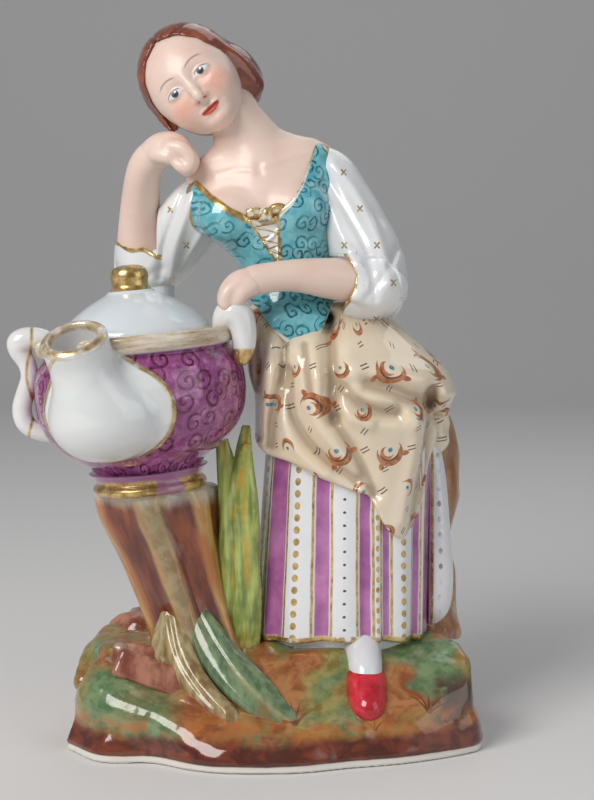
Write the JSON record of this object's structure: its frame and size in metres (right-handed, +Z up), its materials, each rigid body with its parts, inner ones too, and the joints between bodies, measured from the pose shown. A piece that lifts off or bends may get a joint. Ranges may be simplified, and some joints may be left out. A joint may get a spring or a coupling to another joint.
{
  "type": "porcelain figurine",
  "caption": "Glazed porcelain figurine: a seated girl in peasant dress leans on a lidded, spouted pot on a tree stump, all on a hollow rocky base. The lid lifts off.",
  "frame": {"origin": "middle of the flat underside of the base", "axes": "+Z up, -Y towards the front (the side the girl's shoe is on), +X to the girl's left"},
  "size_m": [0.1245, 0.0805, 0.1891],
  "materials": {
    "ground_glaze": "glossy clear glaze over painted colour",
    "rock_glaze": "glossy clear glaze over painted colour",
    "seat_glaze": "glossy clear glaze over painted colour",
    "stump_glaze": "glossy clear glaze over painted colour",
    "leaf_glaze": "glossy clear glaze over painted colour",
    "grass_glaze": "glossy clear glaze over painted colour",
    "pot_glaze": "glossy clear glaze over painted colour",
    "gilt_band": "worn gold over white glaze",
    "white_glaze": "glossy clear glaze over white porcelain, with worn gold edges",
    "lid_glaze": "glossy clear glaze over white porcelain, with worn gold edges",
    "gilt": "worn burnished gold over glaze",
    "petticoat_glaze": "glossy clear glaze over painted colour",
    "apron_glaze": "glossy clear glaze over painted colour",
    "bodice_glaze": "glossy clear glaze over painted colour",
    "skin_glaze": "glossy clear glaze over painted colour",
    "hair_glaze": "glossy clear glaze over painted colour",
    "sleeve_glaze": "glossy clear glaze over painted colour",
    "stocking_glaze": "glossy clear glaze over painted colour",
    "shoe_glaze": "glossy clear glaze over painted colour"
  },
  "bodies": {
    "figurine": {"base": "ground_glaze", "block_rock": "rock_glaze", "back_rock": "rock_glaze", "seat_rock": "seat_glaze", "tree_stump": "stump_glaze", "stump_root": "stump_glaze", "broad_leaf": "leaf_glaze", "grass_blades": "grass_glaze", "pot_body": "pot_glaze", "pot_foot_ring": "gilt_band", "pot_spout": "white_glaze", "pot_handle_left": "white_glaze", "pot_handle_right": "white_glaze", "elbow_rest": "white_glaze", "petticoat": "petticoat_glaze", "petticoat_fold": "petticoat_glaze", "apron": "apron_glaze", "apron_gather": "apron_glaze", "bodice": "bodice_glaze", "bust": "skin_glaze", "neckline_bow": "gilt", "head": "skin_glaze", "hair": "hair_glaze", "sleeve_right": "sleeve_glaze", "forearm_right": "skin_glaze", "hand_right": "skin_glaze", "sleeve_left": "sleeve_glaze", "forearm_left": "skin_glaze", "hand_left": "skin_glaze", "leg": "stocking_glaze", "shoe": "shoe_glaze"},
    "lid": {"lid": "lid_glaze", "lid_knob": "gilt"}
  },
  "joints": [
    {"name": "lid_lift", "type": "slide", "parent": "figurine", "child": "lid", "axis": [-0.0906, 0, 0.9959], "range_m": [0, 0.025]}
  ]
}
